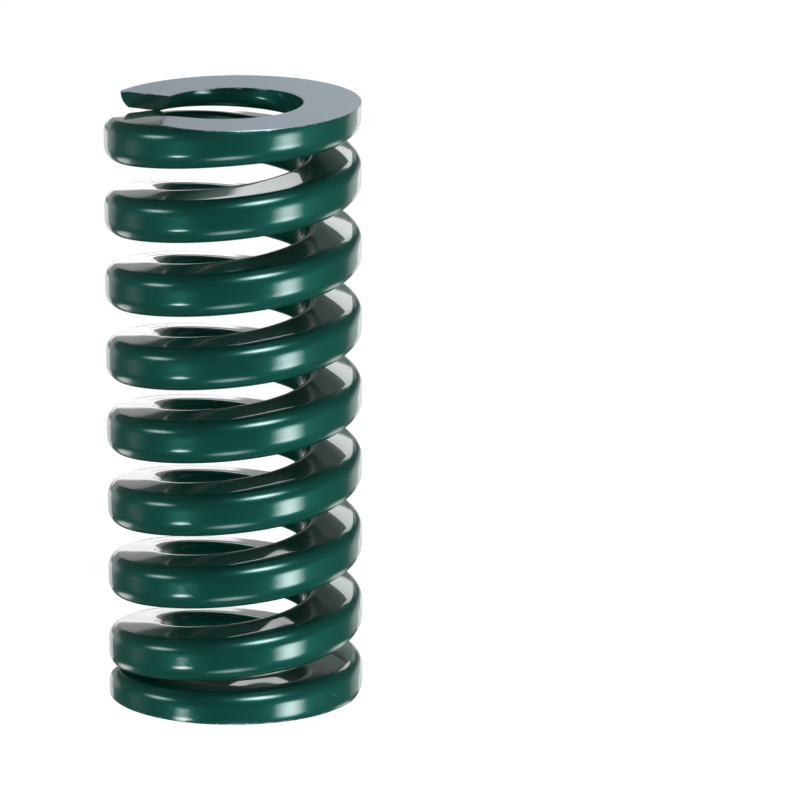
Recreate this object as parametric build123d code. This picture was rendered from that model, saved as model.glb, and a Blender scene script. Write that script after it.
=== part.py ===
"""Die spring: one bar of rounded rectangular wire, coiled to the right, with closed and ground ends.

The axis is +Z, the lower ground seat lies on z = 0 and the axis passes through the origin.
A place along the wire is given in turns, counted from the tip of the lower end coil.
"""
from build123d import *
import math
import os

# ---- driving dimensions, in millimetres ----------------------------------------------------

outer_diameter = 25.0          # over the coils: what the pocket of the die plate has to take
inner_diameter = 13.8          # inside the coils: what is left for the guide rod
free_length = 59.2             # from ground seat to ground seat, with no load

wire_height = 4.2              # section of the wire, along the spring's axis
outer_top_round = 1.5          # corner radii of that section
outer_bottom_round = 1.7
inner_round = 1.5
flat_setback = 0.9             # from the outer wall in to the edge where an outer corner meets its flat
flat_edge_round = 0.25         # radius that softens this edge

# ---- coiling, in turns unless said otherwise -----------------------------------------------

total_turns = 8.91
lower_tip_bearing = 183.0      # degrees round the axis, counted from +X towards +Y

# The end coils are wound nearly closed, and each eases over to the working pitch.
lower_closed_turns = 0.43
lower_easing_turns = 0.33
lower_closed_lead = 2.3        # millimetres of rise in a full turn of the closed stretch
lower_tip_thickness = 2.59     # millimetres of wire left at the tip once the seat is ground

upper_closed_turns = 0.57
upper_easing_turns = 0.165
upper_closed_lead = 3.0
upper_tip_thickness = 1.76

# ---- how finely the coil is laid out -------------------------------------------------------

sections_per_turn = 12
rounds_share = 0.95            # most that two radii take of the wire, or the setback of a radius

# ---- sizes that follow ---------------------------------------------------------------------

outer_radius = outer_diameter / 2
inner_radius = inner_diameter / 2
wire_width = outer_radius - inner_radius

lower_tip_height = lower_tip_thickness - wire_height / 2
upper_tip_height = free_length - upper_tip_thickness + wire_height / 2

lower_slow_turns = lower_closed_turns + lower_easing_turns / 2
upper_slow_turns = upper_closed_turns + upper_easing_turns / 2
working_turns = total_turns - lower_slow_turns - upper_slow_turns
end_rise = lower_closed_lead * lower_slow_turns + upper_closed_lead * upper_slow_turns
pitch = (upper_tip_height - lower_tip_height - end_rise) / working_turns


def slow_turns(turns_from_tip, closed_turns, easing_turns):
    """How much of a stretch, that starts at a tip, is wound short of the working pitch."""
    eased = min(max((turns_from_tip - closed_turns) / easing_turns, 0.0), 1.0)
    wound = min(turns_from_tip, closed_turns + easing_turns)
    return wound - easing_turns * (eased**3 - eased**4 / 2)


def height_at(turn):
    """Height of the wire's centre line."""
    past_lower_tip = slow_turns(turn, lower_closed_turns, lower_easing_turns)
    to_upper_tip = slow_turns(total_turns - turn, upper_closed_turns, upper_easing_turns)
    lower_loss = (pitch - lower_closed_lead) * past_lower_tip
    upper_loss = (pitch - upper_closed_lead) * (upper_slow_turns - to_upper_tip)
    return lower_tip_height + pitch * turn - lower_loss - upper_loss


def rise_over_flat(corner_round, setback):
    """How much higher an outer corner would reach if the flat did not cut it off at the setback."""
    swept = math.acos(1 - setback / corner_round)
    return corner_round * (1 - math.sin(swept))


def wire_section():
    """The wire's section beside the axis, in the plane of X and Z.

    The inner corners run smoothly into the flats, and the outer corners meet them in a soft edge.
    """
    room = rounds_share * min(wire_height, wire_width)
    scale = min(1.0, room / (outer_top_round + outer_bottom_round), room / (2 * inner_round))
    top_round, bottom_round = scale * outer_top_round, scale * outer_bottom_round
    setback = min(scale * flat_setback, rounds_share * top_round, rounds_share * bottom_round)
    rise, drop = rise_over_flat(top_round, setback), rise_over_flat(bottom_round, setback)

    middle = Pos(inner_radius + wire_width / 2, 0)
    bar = middle * Pos(0, (rise - drop) / 2) * Rectangle(wire_width, wire_height + rise + drop)
    bar = fillet(bar.vertices().group_by(Axis.X)[-1].sort_by(Axis.Y)[-1], top_round)
    bar = fillet(bar.vertices().group_by(Axis.X)[-1].sort_by(Axis.Y)[0], bottom_round)
    section = middle * Rectangle(wire_width, wire_height) & bar
    section = fillet(section.vertices().group_by(Axis.X)[0], inner_round * scale)
    edges = section.vertices().filter_by(lambda v: abs(outer_radius - setback - v.X) < setback / 100)
    return Plane.XZ * fillet(edges, flat_edge_round * scale)


def wire_stretch(section, first_turn, last_turn):
    """A stretch of wire, lofted through the section as it winds round the axis and climbs."""
    steps = math.ceil(sections_per_turn * (last_turn - first_turn))
    turns = [first_turn + (last_turn - first_turn) * step / steps for step in range(steps + 1)]
    placed = [
        Pos(0, 0, height_at(turn)) * Rot(0, 0, lower_tip_bearing + 360 * turn) * section
        for turn in turns
    ]
    return loft(placed)


def coiled_wire():
    """The whole wire, joined from stretches of about one turn."""
    section = wire_section()
    stretches = round(total_turns)
    joints = [total_turns * number / stretches for number in range(stretches + 1)]
    wound = [wire_stretch(section, first, last) for first, last in zip(joints, joints[1:])]
    return wound[0].fuse(*wound[1:]).solid()


def ground_spring():
    """The coil between its two ground seats."""
    on_seat = (Align.CENTER, Align.CENTER, Align.MIN)
    between_seats = Box(2 * outer_diameter, 2 * outer_diameter, free_length, align=on_seat)
    return (coiled_wire() & between_seats).solid()


os.makedirs("parts", exist_ok=True)
export_step(ground_spring(), "parts/spring_coil.step")
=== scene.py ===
"""A die spring in dark green enamel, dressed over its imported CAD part."""

import math

import bmesh
import bpy
from mathutils import Matrix, Vector


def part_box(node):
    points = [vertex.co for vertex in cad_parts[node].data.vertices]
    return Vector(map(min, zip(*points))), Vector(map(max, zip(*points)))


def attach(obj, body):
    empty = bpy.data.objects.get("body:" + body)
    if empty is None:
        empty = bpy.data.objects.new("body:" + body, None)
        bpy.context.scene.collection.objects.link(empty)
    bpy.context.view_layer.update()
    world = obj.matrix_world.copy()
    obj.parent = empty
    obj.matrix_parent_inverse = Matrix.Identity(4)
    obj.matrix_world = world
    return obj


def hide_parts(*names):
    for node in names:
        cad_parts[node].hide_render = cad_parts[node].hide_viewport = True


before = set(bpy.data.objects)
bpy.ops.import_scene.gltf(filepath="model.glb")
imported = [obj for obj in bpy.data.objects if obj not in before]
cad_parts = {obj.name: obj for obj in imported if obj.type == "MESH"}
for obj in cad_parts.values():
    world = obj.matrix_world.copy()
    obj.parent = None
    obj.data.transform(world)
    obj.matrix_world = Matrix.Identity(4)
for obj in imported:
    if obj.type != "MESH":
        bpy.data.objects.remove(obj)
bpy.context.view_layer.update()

MM = 0.001

# ---- the wire and how it is wound ----------------------------------------------------------

low_corner, high_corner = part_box("spring_coil")
OUTER_RADIUS = (high_corner.x - low_corner.x) / 2
FREE_LENGTH = high_corner.z
INNER_RADIUS = 6.9 * MM
WIRE_HEIGHT = 4.2 * MM
OUTER_TOP_ROUND = 1.5 * MM
OUTER_BOTTOM_ROUND = 1.7 * MM
INNER_ROUND = 1.5 * MM
FLAT_SETBACK = 0.9 * MM
FLAT_EDGE_ROUND = 0.25 * MM

TOTAL_TURNS = 8.91
LOWER_TIP_BEARING = math.radians(183)
LOWER_CLOSED_TURNS = 0.43
LOWER_EASING_TURNS = 0.33
LOWER_CLOSED_LEAD = 2.3 * MM
LOWER_TIP_HEIGHT = 2.59 * MM - WIRE_HEIGHT / 2
UPPER_TIP_BEARING = LOWER_TIP_BEARING + 2 * math.pi * TOTAL_TURNS
UPPER_CLOSED_TURNS = 0.57
UPPER_EASING_TURNS = 0.165
UPPER_CLOSED_LEAD = 3.0 * MM
UPPER_TIP_HEIGHT = FREE_LENGTH - 1.76 * MM + WIRE_HEIGHT / 2

LOWER_SLOW_TURNS = LOWER_CLOSED_TURNS + LOWER_EASING_TURNS / 2
UPPER_SLOW_TURNS = UPPER_CLOSED_TURNS + UPPER_EASING_TURNS / 2
END_RISE = LOWER_CLOSED_LEAD * LOWER_SLOW_TURNS + UPPER_CLOSED_LEAD * UPPER_SLOW_TURNS
PITCH = (UPPER_TIP_HEIGHT - LOWER_TIP_HEIGHT - END_RISE) / (
    TOTAL_TURNS - LOWER_SLOW_TURNS - UPPER_SLOW_TURNS
)

# The wire's top face falls outwards by this slope, which fades out as the next coil closes in.
TOP_SLOPE = math.radians(6.0)
CLOSED_GAP = 0.1 * MM
OPEN_GAP = 0.9 * MM

# The upper seat is ground a little askew. It is lowest towards UPPER_SEAT_SIDE.
UPPER_SEAT_TILT = math.radians(0.7)
UPPER_SEAT_LOW = math.radians(230)
UPPER_SEAT_SIDE = Vector((math.cos(UPPER_SEAT_LOW), math.sin(UPPER_SEAT_LOW), 0))
UPPER_SEAT_FACING = (
    Vector((0, 0, 1)) + UPPER_SEAT_SIDE * math.tan(UPPER_SEAT_TILT)
).normalized()
UPPER_SEAT_TOUCH = Vector((0, 0, FREE_LENGTH)) - UPPER_SEAT_SIDE * OUTER_RADIUS

# ---- how finely the coil is laid out -------------------------------------------------------

STEPS_PER_TURN = 108
CORNER_SEGMENTS = 9
EDGE_SEGMENTS = 3
FACE_CUTS = 4
LONG_SIDE = 0.5 * MM               # sides of the section longer than this are cut up
WELD_REACH = 0.01 * MM
HAIR = 1e-4 * MM                   # what lies this near to a cut lies on it
SHARP_EDGE = math.radians(28)

# ---- the finish: depths and reaches, clouds or specks in a metre, and colours --------------

CHIP_DEPTH = 0.9 * MM
RIM_WEAR = 0.045 * MM              # what is worn off all along the rims of the seats
PEEL_DEPTH = 0.04 * MM
TIP_FACE_REACH = 0.03 * MM
CLOUD_SCALE = 160.0
STRAY_SCALE = 330.0
SPECK_SCALE = 420.0
CHIP_SCALE = 900.0
PEEL_SCALE = 1500.0
GRAIN_SCALE = 6000.0

WHITE = (1, 1, 1, 1)
FLOOR_GREY = (0.75, 0.75, 0.75, 1)
BACKDROP_GREY = (0.8, 0.8, 0.8, 1)
DEEP_GREEN = (0.004, 0.070, 0.051, 1)
LIGHTER_GREEN = (0.006, 0.084, 0.062, 1)
TORN_GREEN = (0.010, 0.036, 0.030, 1)
DUST_GREY = (0.3, 0.36, 0.34, 1)
DARKER_STEEL = (0.35, 0.43, 0.49, 1)
GROUND_STEEL = (0.43, 0.50, 0.56, 1)
GREEN_GLOSS = (0.15, 1.0, 0.9, 1)

# ---- the studio's sizes, in metres ---------------------------------------------------------

FLOOR_SIDE = 0.2
FLOOR_DROP = 0.01 * MM             # under the lower seat, so that the two faces don't fight
BACKDROP_WIDTH = 1.2
BACKDROP_HEIGHT = 0.34
BACKDROP_PLACE = (0, 1.0, -0.235)
FRONT_LAMP_DISTANCE = 2.5
BACK_LAMP_DISTANCE = 0.9           # in front of the backdrop, which would hide them


# ---- the coil's rise -----------------------------------------------------------------------


def slow_turns(turns_from_tip, closed_turns, easing_turns):
    """How much of a stretch, that starts at a tip, is wound short of the working pitch."""
    eased = min(max((turns_from_tip - closed_turns) / easing_turns, 0.0), 1.0)
    wound = min(turns_from_tip, closed_turns + easing_turns)
    return wound - easing_turns * (eased**3 - eased**4 / 2)


def wire_climb(turn):
    """Height of the wire's centre line, so many turns from the lower tip."""
    past_lower_tip = slow_turns(turn, LOWER_CLOSED_TURNS, LOWER_EASING_TURNS)
    to_upper_tip = slow_turns(TOTAL_TURNS - turn, UPPER_CLOSED_TURNS, UPPER_EASING_TURNS)
    lower_loss = (PITCH - LOWER_CLOSED_LEAD) * past_lower_tip
    upper_loss = (PITCH - UPPER_CLOSED_LEAD) * (UPPER_SLOW_TURNS - to_upper_tip)
    return LOWER_TIP_HEIGHT + PITCH * turn - lower_loss - upper_loss


def top_lift(turn, radius, over_middle):
    """Coiling leaves the wire thicker towards the bore, save where the next coil lies on it."""
    gap = OPEN_GAP
    if turn < TOTAL_TURNS - 1:
        gap = wire_climb(turn + 1) - wire_climb(turn) - WIRE_HEIGHT
    room = min(max((gap - CLOSED_GAP) / (OPEN_GAP - CLOSED_GAP), 0.0), 1.0)
    inward = max(OUTER_RADIUS - FLAT_SETBACK - radius, 0.0)
    return room * math.tan(TOP_SLOPE) * inward * max(over_middle, 0.0) / (WIRE_HEIGHT / 2)


# ---- the coil's mesh -----------------------------------------------------------------------


def everything(bm):
    return list(bm.verts) + list(bm.edges) + list(bm.faces)


def round_corners(bm, corners, setback, segments):
    """Rounds corners of a flat section, from so far along the sides that meet there."""
    bmesh.ops.bevel(
        bm, geom=corners, offset=setback, offset_type="OFFSET", affect="VERTICES",
        segments=segments, profile=0.5, material=-1,
    )


def turn_at_flat(corner_round):
    """How far round an outer corner has turned where the flat cuts it off."""
    return math.acos(1 - FLAT_SETBACK / corner_round)


def rise_over_flat(corner_round):
    """How much higher an outer corner would reach if the flat did not cut it off."""
    return corner_round * (1 - math.sin(turn_at_flat(corner_round)))


def wire_section(bm):
    """The wire's section beside the axis, in the plane of X and Z, at the origin's height."""
    width = OUTER_RADIUS - INNER_RADIUS
    rise, drop = rise_over_flat(OUTER_TOP_ROUND), rise_over_flat(OUTER_BOTTOM_ROUND)
    middle = Vector((INNER_RADIUS + width / 2, 0, (rise - drop) / 2))
    bmesh.ops.create_grid(bm, x_segments=1, y_segments=1, size=0.5)
    bmesh.ops.scale(bm, verts=bm.verts, vec=(width, WIRE_HEIGHT + rise + drop, 1))
    bmesh.ops.rotate(bm, verts=bm.verts, matrix=Matrix.Rotation(math.pi / 2, 3, "X"))
    bmesh.ops.translate(bm, verts=bm.verts, vec=middle)
    outer = sorted((v for v in bm.verts if v.co.x > middle.x), key=lambda v: v.co.z)
    round_corners(bm, outer[:1], OUTER_BOTTOM_ROUND, CORNER_SEGMENTS)
    round_corners(bm, outer[1:], OUTER_TOP_ROUND, CORNER_SEGMENTS)
    for side in (-1, 1):
        bmesh.ops.bisect_plane(
            bm, geom=everything(bm), dist=HAIR,
            plane_co=(0, 0, side * WIRE_HEIGHT / 2), plane_no=(0, 0, side), clear_outer=True,
        )
    flat_ends = [v for v in bm.verts if abs(v.co.z) > WIRE_HEIGHT / 2 - HAIR]
    flat_edges = [v for v in flat_ends if v.co.x > middle.x]
    inner_corners = [v for v in flat_ends if v.co.x < middle.x]
    left_to_turn = math.pi / 2 - turn_at_flat(OUTER_TOP_ROUND)
    edge_setback = FLAT_EDGE_ROUND * math.tan(left_to_turn / 2)
    round_corners(bm, flat_edges, edge_setback, EDGE_SEGMENTS)
    round_corners(bm, inner_corners, INNER_ROUND, CORNER_SEGMENTS)
    straight = [e for e in bm.edges if e.calc_length() > LONG_SIDE]
    bmesh.ops.subdivide_edges(bm, edges=straight, cuts=FACE_CUTS)


def wind_evenly(bm, lead):
    """Spins one stretch of wire at an even lead and repeats it up the axis."""
    stretches = round(TOTAL_TURNS)
    stretch_turns = TOTAL_TURNS / stretches
    steps = round(STEPS_PER_TURN * stretch_turns)
    bmesh.ops.delete(bm, geom=bm.faces, context="FACES_ONLY")
    bmesh.ops.spin(
        bm, geom=list(bm.edges) + list(bm.verts), cent=(0, 0, 0), axis=(0, 0, 1),
        dvec=(0, 0, lead * stretch_turns / steps), angle=2 * math.pi * stretch_turns,
        steps=steps, use_duplicate=False,
    )
    stretch = everything(bm)
    for number in range(1, stretches):
        copy = bmesh.ops.duplicate(bm, geom=stretch)
        verts = [g for g in copy["geom"] if isinstance(g, bmesh.types.BMVert)]
        turned = Matrix.Rotation(2 * math.pi * stretch_turns * number, 3, "Z")
        bmesh.ops.rotate(bm, verts=verts, matrix=turned)
        bmesh.ops.translate(bm, verts=verts, vec=(0, 0, lead * stretch_turns * number))
    bmesh.ops.remove_doubles(bm, verts=bm.verts, dist=WELD_REACH)
    bmesh.ops.holes_fill(bm, edges=[e for e in bm.edges if e.is_boundary], sides=0)


def settle(bm, lead):
    """Takes each place of an evenly wound coil to its true height."""
    for vert in bm.verts:
        part_turn = math.atan2(vert.co.y, vert.co.x) / (2 * math.pi)
        whole_turns = round(vert.co.z / lead - part_turn)
        turn = min(max(whole_turns + part_turn, 0.0), TOTAL_TURNS)
        over_middle = vert.co.z - lead * turn
        lift = top_lift(turn, vert.co.xy.length, over_middle)
        vert.co.z = wire_climb(turn) + over_middle + lift


def grind_seat(bm, touch, outward):
    """Cuts one end coil flat, through the place that the seat touches, and closes the cut."""
    cut = bmesh.ops.bisect_plane(
        bm, geom=everything(bm), dist=HAIR,
        plane_co=touch, plane_no=outward, clear_outer=True,
    )
    rim = [g for g in cut["geom_cut"] if isinstance(g, bmesh.types.BMEdge)]
    bmesh.ops.triangle_fill(bm, edges=rim, use_beauty=True, normal=outward)


def coil_mesh():
    even_lead = 2 * WIRE_HEIGHT
    bm = bmesh.new()
    wire_section(bm)
    wind_evenly(bm, even_lead)
    settle(bm, even_lead)
    bmesh.ops.rotate(bm, verts=bm.verts, matrix=Matrix.Rotation(LOWER_TIP_BEARING, 3, "Z"))
    bmesh.ops.recalc_face_normals(bm, faces=bm.faces)
    grind_seat(bm, Vector((0, 0, 0)), Vector((0, 0, -1)))
    grind_seat(bm, UPPER_SEAT_TOUCH, UPPER_SEAT_FACING)
    bmesh.ops.recalc_face_normals(bm, faces=bm.faces)
    for face in bm.faces:
        face.smooth = True
    for edge in bm.edges:
        edge.smooth = len(edge.link_faces) == 2 and edge.calc_face_angle() < SHARP_EDGE
    return finished_mesh("coil_wire", bm)


def finished_mesh(name, bm):
    mesh = bpy.data.meshes.new(name)
    bm.to_mesh(mesh)
    bm.free()
    return mesh


# ---- nodes ---------------------------------------------------------------------------------


class Socket:
    """One output of a node, on which Python's operators add Math nodes."""

    def __init__(self, nodes, output):
        self.nodes = nodes
        self.output = output

    def join(self, operation, *values):
        return self.nodes.add("ShaderNodeMath", {"operation": operation}, list(values))

    def __add__(self, other):
        return self.join("ADD", self, other)

    def __radd__(self, other):
        return self.join("ADD", other, self)

    def __sub__(self, other):
        return self.join("SUBTRACT", self, other)

    def __rsub__(self, other):
        return self.join("SUBTRACT", other, self)

    def __mul__(self, other):
        return self.join("MULTIPLY", self, other)

    def __rmul__(self, other):
        return self.join("MULTIPLY", other, self)

    def __gt__(self, other):
        return self.join("GREATER_THAN", self, other)

    def __lt__(self, other):
        return self.join("LESS_THAN", self, other)

    def clamped(self):
        return self.join("MINIMUM", self.join("MAXIMUM", self, 0.0), 1.0)


class Nodes:
    """The node tree of a material, a lamp or the world, cleared for a fresh start."""

    def __init__(self, owner):
        owner.use_nodes = True
        self.tree = owner.node_tree
        self.tree.nodes.clear()

    def add(self, kind, settings=None, inputs=None, output=0):
        """Adds a node: its settings first, then the values or links of its sockets."""
        node = self.tree.nodes.new(kind)
        for name, value in (settings or {}).items():
            setattr(node, name, value)
        pairs = enumerate(inputs) if isinstance(inputs, list) else (inputs or {}).items()
        for key, value in pairs:
            if isinstance(value, Socket):
                self.tree.links.new(value.output, node.inputs[key])
            else:
                node.inputs[key].default_value = value
        return Socket(self, node.outputs[output]) if node.outputs else None

    def mix(self, factor, first, second):
        """Goes from the first colour to the second as the factor goes from 0 to 1."""
        inputs = {"Factor": factor, "A": first, "B": second}
        return self.add("ShaderNodeMix", {"data_type": "RGBA"}, inputs, output="Result")

    def dot(self, place, direction):
        """How far a place lies along a direction."""
        settings = {"operation": "DOT_PRODUCT"}
        inputs = [place, direction]
        return self.add("ShaderNodeVectorMath", settings, inputs, output="Value")

    def noise(self, place, scale, detail=2.0):
        """Cloudy variation round 0.5."""
        inputs = {"Vector": place, "Scale": scale, "Detail": detail}
        return self.add("ShaderNodeTexNoise", {}, inputs)

    def ray(self, kind):
        """1 to one kind of ray, and 0 to all others."""
        return self.add("ShaderNodeLightPath", output=f"Is {kind} Ray")


# ---- the spring's finish -------------------------------------------------------------------


def tip_face(paint, place, bearing):
    """1 on the face that ends the wire at this bearing, and on whatever lies level with it."""
    outward = Vector((math.cos(bearing), math.sin(bearing), 0))
    across = Vector((-math.sin(bearing), math.cos(bearing), 0))
    off_plane = paint.dot(place, across)
    near = (off_plane < TIP_FACE_REACH) * (off_plane > -TIP_FACE_REACH)
    return near * (paint.dot(place, outward) > 0.0)


def enamel_finish(paint, place, cloud, grain, mottle, sheared):
    """Glossy green with faint orange peel and stray dust, dull where the tips were sheared."""
    green = paint.mix(mottle, DEEP_GREEN, LIGHTER_GREEN)
    specks = {"Vector": place, "Scale": SPECK_SCALE}
    off_speck = paint.add("ShaderNodeTexVoronoi", {}, specks, output="Distance")
    dust = (off_speck < 0.035) * (paint.noise(place, STRAY_SCALE) > 0.56)
    torn = (sheared * (0.3 + grain)).clamped()
    peel = paint.noise(place, PEEL_SCALE) + grain * 0.25
    peel_bump = {"Strength": 0.4, "Distance": PEEL_DEPTH, "Height": peel}
    return paint.add(
        "ShaderNodeBsdfPrincipled", {},
        {
            "Base Color": paint.mix(torn, paint.mix(dust, green, DUST_GREY), TORN_GREEN),
            "Roughness": 0.28 + 0.1 * cloud + 0.3 * sheared,
            "Normal": paint.add("ShaderNodeBump", {}, peel_bump),
            "Coat Weight": 1.0 - 0.8 * sheared,
            "Coat Roughness": 0.03,
            "IOR": 1.45,
            "Specular IOR Level": 0.65,
            "Specular Tint": GREEN_GLOSS,
        },
    )


def steel_finish(paint, cloud, grain, mottle):
    """Bare steel as the grinding wheel leaves it."""
    brushed = ((grain - 0.5) * 0.5 + mottle * 0.1 + 0.45).clamped()
    return paint.add(
        "ShaderNodeBsdfPrincipled", {},
        {
            "Base Color": paint.mix(brushed, DARKER_STEEL, GROUND_STEEL),
            "Roughness": 0.4 + 0.08 * cloud,
            "Metallic": 1.0,
        },
    )


def green_enamel():
    """Dark green enamel, ground off with the wire at both seats and chipped at their rims."""
    material = bpy.data.materials.new("green_enamel")
    paint = Nodes(material)
    place = paint.add("ShaderNodeTexCoord", output="Object")
    height = paint.add("ShaderNodeSeparateXYZ", {}, [place], output="Z")
    cloud = paint.noise(place, CLOUD_SCALE, 3.0)
    grain = paint.noise(place, GRAIN_SCALE)
    mottle = ((cloud - 0.5) * 1.2 + 0.5).clamped()

    upper_tip = height > UPPER_TIP_HEIGHT - WIRE_HEIGHT / 2
    lower_tip = height < LOWER_TIP_HEIGHT + WIRE_HEIGHT / 2
    sheared = tip_face(paint, place, UPPER_TIP_BEARING) * upper_tip
    sheared += tip_face(paint, place, LOWER_TIP_BEARING) * lower_tip

    chips = (paint.noise(place, CHIP_SCALE, 4.0) - 0.5).clamped() * CHIP_DEPTH + RIM_WEAR
    seat_height = UPPER_SEAT_TOUCH.dot(UPPER_SEAT_FACING)
    under_upper_seat = seat_height - paint.dot(place, UPPER_SEAT_FACING)
    bare = ((chips > under_upper_seat) + (chips > height)).clamped()

    enamel = enamel_finish(paint, place, cloud, grain, mottle, sheared)
    steel = steel_finish(paint, cloud, grain, mottle)
    surface = paint.add("ShaderNodeMixShader", {}, [bare, enamel, steel])
    paint.add("ShaderNodeOutputMaterial", {}, {"Surface": surface})
    return material


# ---- the studio ----------------------------------------------------------------------------


def floor_paint():
    """A pale floor that the camera sees white, but for the soft shadow under the spring."""
    material = bpy.data.materials.new("pale_floor")
    paint = Nodes(material)
    pale = paint.add("ShaderNodeBsdfDiffuse", {}, {"Color": FLOOR_GREY})
    white = paint.add("ShaderNodeEmission", {}, {"Color": WHITE, "Strength": 0.96})
    lit = paint.add("ShaderNodeAddShader", {}, [pale, white])
    both = paint.add("ShaderNodeMixShader", {}, [paint.ray("Camera"), pale, lit])
    paint.add("ShaderNodeOutputMaterial", {}, {"Surface": both})
    return material


def backdrop_paint():
    """Pale in the room's light, and plain white to the camera and in mirror reflections."""
    material = bpy.data.materials.new("white_ground")
    paint = Nodes(material)
    seen = (paint.ray("Camera") + paint.ray("Glossy") + paint.ray("Transmission")).clamped()
    pale = paint.add("ShaderNodeBsdfDiffuse", {}, {"Color": BACKDROP_GREY})
    white = paint.add("ShaderNodeEmission", {}, {"Color": WHITE, "Strength": 1.0})
    both = paint.add("ShaderNodeMixShader", {}, [seen, pale, white])
    paint.add("ShaderNodeOutputMaterial", {}, {"Surface": both})
    return material


def staged_plane(name, width, depth, place, turn, material):
    bm = bmesh.new()
    bmesh.ops.create_grid(bm, x_segments=1, y_segments=1, size=0.5)
    bmesh.ops.scale(bm, verts=bm.verts, vec=(width, depth, 1))
    bmesh.ops.rotate(bm, verts=bm.verts, matrix=turn)
    bmesh.ops.translate(bm, verts=bm.verts, vec=place)
    mesh = finished_mesh(name, bm)
    mesh.materials.append(material)
    plane = bpy.data.objects.new(name, mesh)
    bpy.context.scene.collection.objects.link(plane)
    return plane


def glowing(lamp, hot):
    """Makes an area lamp fade from its hot middle to its edges."""
    light = Nodes(lamp)
    across = light.add("ShaderNodeNewGeometry", output="Parametric")
    centred = light.add(
        "ShaderNodeVectorMath", {"operation": "MULTIPLY_ADD"}, [across, (2, 2, 0), (-1, -1, 0)]
    )
    length = {"operation": "LENGTH"}
    reach = light.add("ShaderNodeVectorMath", length, [centred], output="Value")
    fade = light.add(
        "ShaderNodeMapRange", {"interpolation_type": "SMOOTHSTEP"},
        {"Value": reach, "From Min": hot, "From Max": 1.0, "To Min": 1.0, "To Max": 0.0},
    )
    glow = light.add("ShaderNodeEmission", {}, {"Strength": fade})
    light.add("ShaderNodeOutputLight", {}, {"Surface": glow})


def softbox(name, bearing, elevation, spread, shine, fill=0.0, hot=0.0):
    """Area lamps that face the spring: one shows in its gloss, and one fills its colour.

    Bearing 0 is in front and 90 to the right. The spread is how wide and high it looks, in
    degrees. The hot middle, which doesn't fade, is a share of the way out to the edges.
    """
    distance = BACK_LAMP_DISTANCE if abs(bearing) > 90 else FRONT_LAMP_DISTANCE
    size = [2 * distance * math.tan(math.radians(angle / 2)) for angle in spread]
    turn, tilt = math.radians(bearing), math.radians(elevation)
    sideways, forwards = math.sin(turn) * math.cos(tilt), math.cos(turn) * math.cos(tilt)
    away = Vector((sideways, -forwards, math.sin(tilt)))
    for part, strength, unseen in (("shine", shine, "diffuse"), ("fill", fill, "glossy")):
        if not strength:
            continue
        lamp = bpy.data.lights.new(f"{name}_{part}", "AREA")
        lamp.shape = "RECTANGLE"
        lamp.size, lamp.size_y = size
        lamp.energy = strength * size[0] * size[1] * math.pi
        glowing(lamp, hot)
        holder = bpy.data.objects.new(lamp.name, lamp)
        bpy.context.scene.collection.objects.link(holder)
        holder.location = Vector((0, 0, FREE_LENGTH / 2)) + away * distance
        holder.rotation_euler = away.to_track_quat("Z", "Y").to_euler()
        holder.visible_camera = False
        setattr(holder, f"visible_{unseen}", False)


def room_light(strength):
    """White behind everything, dim for what reaches the spring."""
    world = bpy.data.worlds.new("studio")
    bpy.context.scene.world = world
    room = Nodes(world)
    dim = room.add("ShaderNodeBackground", {}, {"Color": WHITE, "Strength": strength})
    white = room.add("ShaderNodeBackground", {}, {"Color": WHITE, "Strength": 1.0})
    both = room.add("ShaderNodeMixShader", {}, [room.ray("Camera"), dim, white])
    room.add("ShaderNodeOutputWorld", {}, {"Surface": both})


def long_lens_camera():
    """A camera far in front and a little above, that stands the spring left of the middle."""
    elevation, roll = math.radians(14.452), math.radians(-0.374)
    distance, aim_height = 0.7046, 0.02838
    lens, sensor_width = 324.3, 36.0
    aside, below = -0.20711875, 0.01242125  # of the aim from the middle, in frame widths
    back = Vector((0, -math.cos(elevation), math.sin(elevation)))
    right = Vector((1, 0, 0))
    up = back.cross(right)
    rolled_right = right * math.cos(roll) + up * math.sin(roll)
    rolled_up = up * math.cos(roll) - right * math.sin(roll)
    sight = -back * (lens / sensor_width) - rolled_right * aside + rolled_up * below
    swing = (-back).rotation_difference(sight.normalized()).to_matrix()
    facing = Matrix((swing @ rolled_right, swing @ rolled_up, swing @ back)).transposed()
    data = bpy.data.cameras.new("long_lens")
    data.lens = lens
    data.sensor_width = sensor_width
    data.clip_start = 0.01
    camera = bpy.data.objects.new("long_lens", data)
    bpy.context.scene.collection.objects.link(camera)
    place = back * distance + Vector((0, 0, aim_height))
    camera.matrix_world = Matrix.Translation(place) @ facing.to_4x4()
    bpy.context.scene.camera = camera


# ---- putting it together -------------------------------------------------------------------

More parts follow.
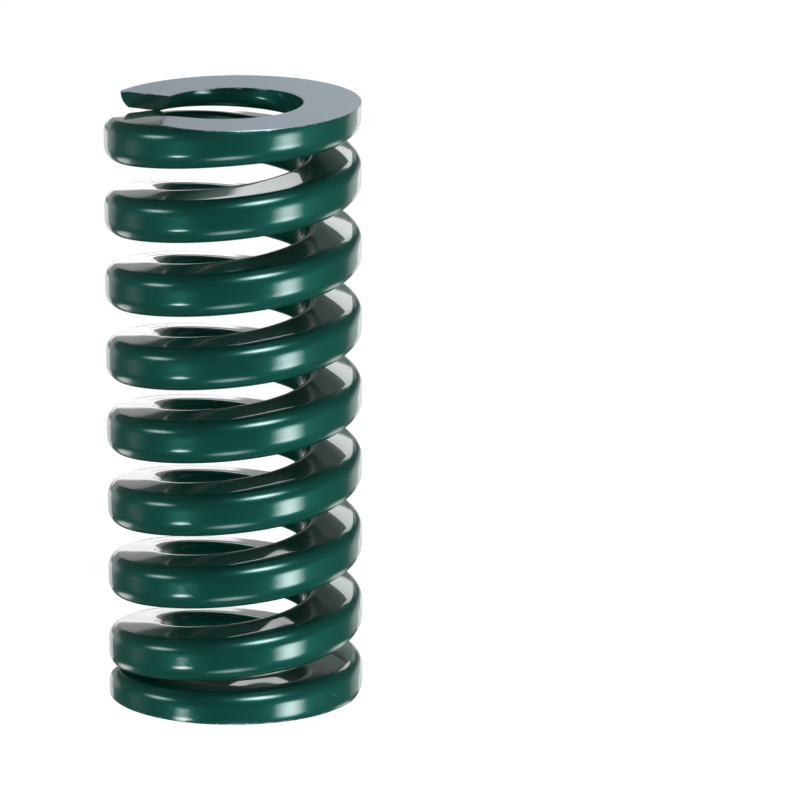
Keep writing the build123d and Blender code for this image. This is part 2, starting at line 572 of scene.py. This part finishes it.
bpy.context.scene.view_settings.view_transform = "Standard"
coil = bpy.data.objects.new("coil_wire", coil_mesh())
coil.data.materials.append(green_enamel())
shading = coil.modifiers.new("even_shading", "WEIGHTED_NORMAL")
shading.mode = "FACE_AREA"
shading.weight = 50
shading.keep_sharp = True
bpy.context.scene.collection.objects.link(coil)
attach(coil, "root")
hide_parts("spring_coil")

level = Matrix.Identity(3)
upright = Matrix.Rotation(math.pi / 2, 3, "X")
floor_place = (0, 0, -FLOOR_DROP)
floor = staged_plane("stand_top", FLOOR_SIDE, FLOOR_SIDE, floor_place, level, floor_paint())
# The lowest lamps shine up through the floor.
for kind in ("glossy", "diffuse", "shadow"):
    setattr(floor, f"visible_{kind}", False)
staged_plane(
    "backdrop", BACKDROP_WIDTH, BACKDROP_HEIGHT, BACKDROP_PLACE, upright, backdrop_paint()
)

room_light(0.04)
# How each lamp stands, how wide and high it looks, and how strong it is.
softbox("key", 23, 43, (44, 32), 19.0, fill=1.9)
softbox("right_low", 50, -17, (36, 26), 13.0, fill=24.0)
softbox("right_side", 80, -6, (50, 50), 0.0, fill=8.5)
softbox("left_low", -50, -21.5, (24, 12), 18.0, fill=40.0)
softbox("left_side", -100, -13, (36, 26), 0.35, fill=11.0)
softbox("left_high", -76, 15, (40, 24), 7.0, fill=13.0)
softbox("front_low", 0, -48, (44, 34), 5.0, fill=3.0)
softbox("horizon", 180, -1, (46, 9), 1.5, hot=0.5)
softbox("haze", 186, 7, (60, 16), 0.4, hot=0.6)
softbox("haze_right", 162, 16, (30, 11), 0.6, hot=0.4)
softbox("back_right", 142, -8, (48, 40), 0.8, hot=0.3)
softbox("back_left", 216, -4, (44, 34), 0.5, hot=0.3)
softbox("top_back", 166, 31, (42, 17), 2.8, hot=0.8)
softbox("back_side", 180, 15, (80, 60), 0.0, fill=2.5)
softbox("sweep_left", 222, -34, (44, 16), 1.6, hot=0.3)
softbox("sweep_right", 138, -36, (50, 16), 1.4, hot=0.3)
long_lens_camera()
